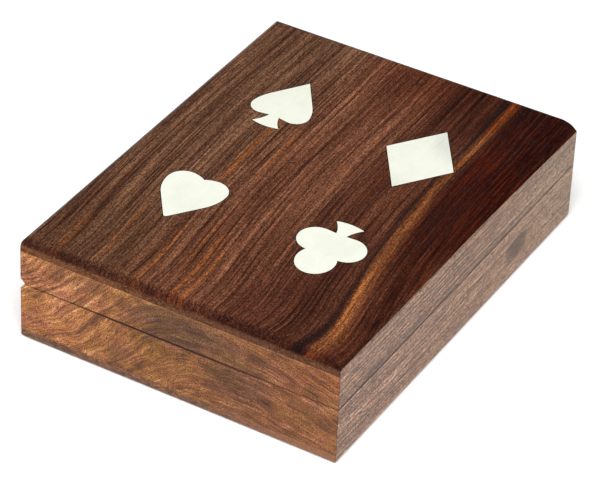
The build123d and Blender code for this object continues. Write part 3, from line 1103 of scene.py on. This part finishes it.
def make_suit_metal():
    finish = Finish("suit_metal")
    (x, y, z), (_, _, facing_z) = find_place(finish)
    place = as_vector(finish, x, y, z)
    scratches = cloud(finish, place, (9, 0.35, 1), 5.0, 2.0, 0.6)
    smudges = cloud(finish, place, (9, 6, 4), 15.0, 3.0, 0.6)
    shade = tones(finish, smudges, METAL_TONES)
    scratched_and_shaded = find_scratched_and_shaded_metal(finish, x, y)
    fine = finish.product(between(finish, scratches, 0.45, 0.65), weigh(finish, scratched_and_shaded, 0.08, 0.45))
    shade = tint(finish, fine, shade, SCRATCH_GREY)
    # In the same places a painted shade greys the metal
    shade = tint(finish, finish.product(scratched_and_shaded, 0.55), shade, PAINTED_SHADE_GREY)
    specks = between(finish, cloud(finish, place, (0.9, 0.6, 1), 25.0, 1.0), 0.70, 0.76)
    shade = tint(finish, finish.product(specks, 0.4), shade, SPECK_GREY)
    # Below the surface its sides get a dark painted shade for the gap they stand in
    shade = tint(finish, between(finish, facing_z, 0.6, 0.3), shade, GAP_SHADE_BROWN)
    finish.shader.inputs["Metallic"].default_value = 0.12
    roughness = finish.sum(0.42, finish.product(scratches, 0.2))
    return finish.dress(shade, roughness, scratches, strength=0.3, depth_mm=0.02)


suit_metal = make_suit_metal()
count_nodes(suit_metal)

# %% [markdown]
# ## The hinges
# Small brass butt hinges are the usual choice for such a box. Brass darkens where fingers and
# cloth don't reach it and stays bright on its high places. Its finish is a cloud of tarnish over
# brushed metal.

# %% Brass
def make_brass(name, light, dark):
    finish = Finish(name)
    (x, y, z), _ = find_place(finish)
    place = as_vector(finish, x, y, z)
    brushing = cloud(finish, place, (6, 0.3, 0.3), 3.0, 3.0, 0.7)
    tarnish = cloud(finish, place, (2.5, 2.5, 2.5), 9.0, 4.0, 0.6)
    tarnish = between(finish, tarnish, 0.45, 0.68)
    shade = tint(finish, tarnish, light, dark)
    roughness = finish.sum(0.24, finish.product(brushing, 0.18))
    roughness = finish.sum(roughness, finish.product(tarnish, 0.18))
    finish.shader.inputs["Metallic"].default_value = 1.0
    return finish.dress(shade, roughness, brushing, strength=0.35, depth_mm=0.03)


hinge_brass = make_brass("hinge_brass", colour(0.80, 0.58, 0.26), colour(0.42, 0.26, 0.10))
screw_brass = make_brass("screw_brass", colour(0.86, 0.66, 0.34), colour(0.36, 0.22, 0.09))
count_nodes(hinge_brass)

# %% [markdown]
# ## Putting the finishes on
# Each piece of the frame has one material slot, and a new finish goes straight into it. The names
# of the pieces tell which finish they take.

# %% Finishes onto pieces
WOODS = {
    "top_board": top_wood,
    "bottom_board": bottom_wood,
    "divider": divider_wood,
    "front_wall": long_wall_wood,
    "back_wall": long_wall_wood,
    "left_wall": end_wall_wood,
    "right_wall": end_wall_wood,
}


def finish_for(name):
    if "inlay" in name:
        return suit_metal
    if "screw" in name:
        return screw_brass
    if "hinge" in name:
        return hinge_brass
    for ending, wood in WOODS.items():
        if name.endswith(ending):
            return wood
    return None


finished = 0
for name, piece in nodes.items():
    material = finish_for(name)
    if material is not None:
        piece.data.materials.clear()
        piece.data.materials.append(material)
        finished += 1
print("finished pieces:", finished)

# %% [markdown]
# ## The felt
# Each compartment has a thin felt lining on its floor, so that the cards lie soft and don't
# rattle. Felt is a sheet of matted wool: it has a cut edge that rounds over, a surface that isn't
# quite flat, and no weave. The frame holds a plain slab for it. We cut our own sheet to the same
# outline, as a fine grid whose points we lower at the edges and lift a little here and there.

# %% The felt's points
FELT_STEP = 0.0011
FELT_CORNER = 0.001
FELT_EDGE = 0.0007
FELT_EDGE_DROP = 0.35
FELT_LIFT = 0.00012
WAVES_PER_METRE = 90
LUMPS_PER_METRE = 400


def round_corner(x, y, half):
    # Pulls a point in the very corner in to the corner's rounding
    past_x = abs(x) - half.x + FELT_CORNER
    past_y = abs(y) - half.y + FELT_CORNER
    reach = math.hypot(past_x, past_y)
    if min(past_x, past_y) > 0 and reach > FELT_CORNER:
        x = math.copysign(half.x - FELT_CORNER + past_x * FELT_CORNER / reach, x)
        y = math.copysign(half.y - FELT_CORNER + past_y * FELT_CORNER / reach, y)
    return x, y


def felt_height(point, middle, size):
    # The cut edge rounds over, and the surface rises and falls a little
    inset = min(size.x / 2 - abs(point.x), size.y / 2 - abs(point.y))
    round_over = max(1 - inset / FELT_EDGE, 0) ** 2 * FELT_EDGE_DROP
    spot = middle + point
    lift = noise.noise(spot * WAVES_PER_METRE) + 0.5 * noise.noise(spot * LUMPS_PER_METRE)
    return size.z * (1 - round_over) - FELT_LIFT * (1 - lift) / 2


print("felt grid step in mm:", FELT_STEP * 1000)

# %% [markdown]
# The sheet is laid out row by row, and each four neighbouring points make a face. Then its edge
# is followed all round, a wall goes down from it to the board, and one face closes the underside.
# So the felt is a closed body like the slab that it stands for.

# %% Cut the felt
FELT_REST = 0.00003


def close_underneath(felt, grid, bottom):
    rim = [*grid[0], *[line[-1] for line in grid[1:]], *reversed(grid[-1][:-1])]
    rim += [line[0] for line in reversed(grid[1:-1])]
    foot = [felt.verts.new((point.co.x, point.co.y, bottom)) for point in rim]
    for place in range(len(rim)):
        after = (place + 1) % len(rim)
        felt.faces.new((rim[after], rim[place], foot[place], foot[after]))
    felt.faces.new(list(reversed(foot)))


def cut_felt(name, node):
    low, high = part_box(node)
    size = high - low
    middle = (low + high) / 2
    columns = round(size.x / FELT_STEP)
    rows = round(size.y / FELT_STEP)
    felt = bmesh.new()
    grid = []
    for row in range(rows + 1):
        line = []
        for column in range(columns + 1):
            x = (column / columns - 0.5) * size.x
            y = (row / rows - 0.5) * size.y
            point = Vector((*round_corner(x, y, size / 2), 0))
            point.z = felt_height(point, middle, size) - size.z / 2
            line.append(felt.verts.new(middle + point))
        grid.append(line)
    for near, far in zip(grid, grid[1:]):
        for a, b, c, d in zip(near, near[1:], far[1:], far):
            felt.faces.new((a, b, c, d))
    close_underneath(felt, grid, low.z + FELT_REST)
    bmesh.ops.recalc_face_normals(felt, faces=felt.faces)
    return place_mesh(name, felt)


felt_sheets = {}
for side in ("left", "right"):
    felt_sheets[side] = cut_felt(f"{side}_felt", f"{side}_felt_pad")
    print(side, "felt points:", len(felt_sheets[side].data.vertices))

# %% [markdown]
# Felt scatters light softly and has a faint bloom along its edges, which the shader calls sheen.
# Its colour is mottled by the single fibres, lighter and darker, which we make from two clouds of
# different sizes and a fine bump.

# %% Felt finish
FELT_TONES = [
    (0.30, 0.046, 0.004, 0.006),
    (0.50, 0.100, 0.009, 0.012),
    (0.70, 0.178, 0.022, 0.025),
]


def make_felt():
    finish = Finish("red_felt")
    (x, y, z), _ = find_place(finish)
    place = as_vector(finish, x, y, z)
    fuzz = cloud(finish, place, (0.35, 0.35, 0.35), 2.0, 4.0, 0.75, 0.8)
    mottle = cloud(finish, place, (5, 5, 5), 6.0, 3.0, 0.6)
    tone = finish.sum(finish.product(fuzz, 0.7), finish.product(mottle, 0.3))
    finish.shader.inputs["Sheen Weight"].default_value = 0.15
    finish.shader.inputs["Sheen Roughness"].default_value = 0.4
    finish.shader.inputs["Sheen Tint"].default_value = colour(0.9, 0.4, 0.4)
    roughness = finish.sum(0.82, finish.product(fuzz, 0.15))
    shade = tones(finish, tone, FELT_TONES)
    return finish.dress(shade, roughness, fuzz, strength=0.9, depth_mm=0.15)


felt_finish = make_felt()
for side, sheet in felt_sheets.items():
    sheet.data.materials.append(felt_finish)
    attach(sheet, "base")
    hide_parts(f"{side}_felt_pad")
print("felt sheets laid:", len(felt_sheets))

# %% [markdown]
# ## Paper white
# The paper is plain white with the faintest tooth. It is lit so that it comes out just white.

# %% Paper finish
PAPER_TONES = [(0.3, 0.90, 0.90, 0.90), (0.7, 0.93, 0.93, 0.93)]


def make_paper():
    finish = Finish("white_paper")
    (x, y, z), _ = find_place(finish)
    tooth = cloud(finish, as_vector(finish, x, y, z), (1.5, 1.5, 1.5), 1.0, 3.0)
    finish.feed(finish.shader.inputs["Base Color"], tones(finish, tooth, PAPER_TONES))
    finish.shader.inputs["Roughness"].default_value = 0.9
    finish.shader.inputs["Specular IOR Level"].default_value = 0.2
    return finish.material


paper.data.materials.append(make_paper())
count_nodes(paper.data.materials[0])
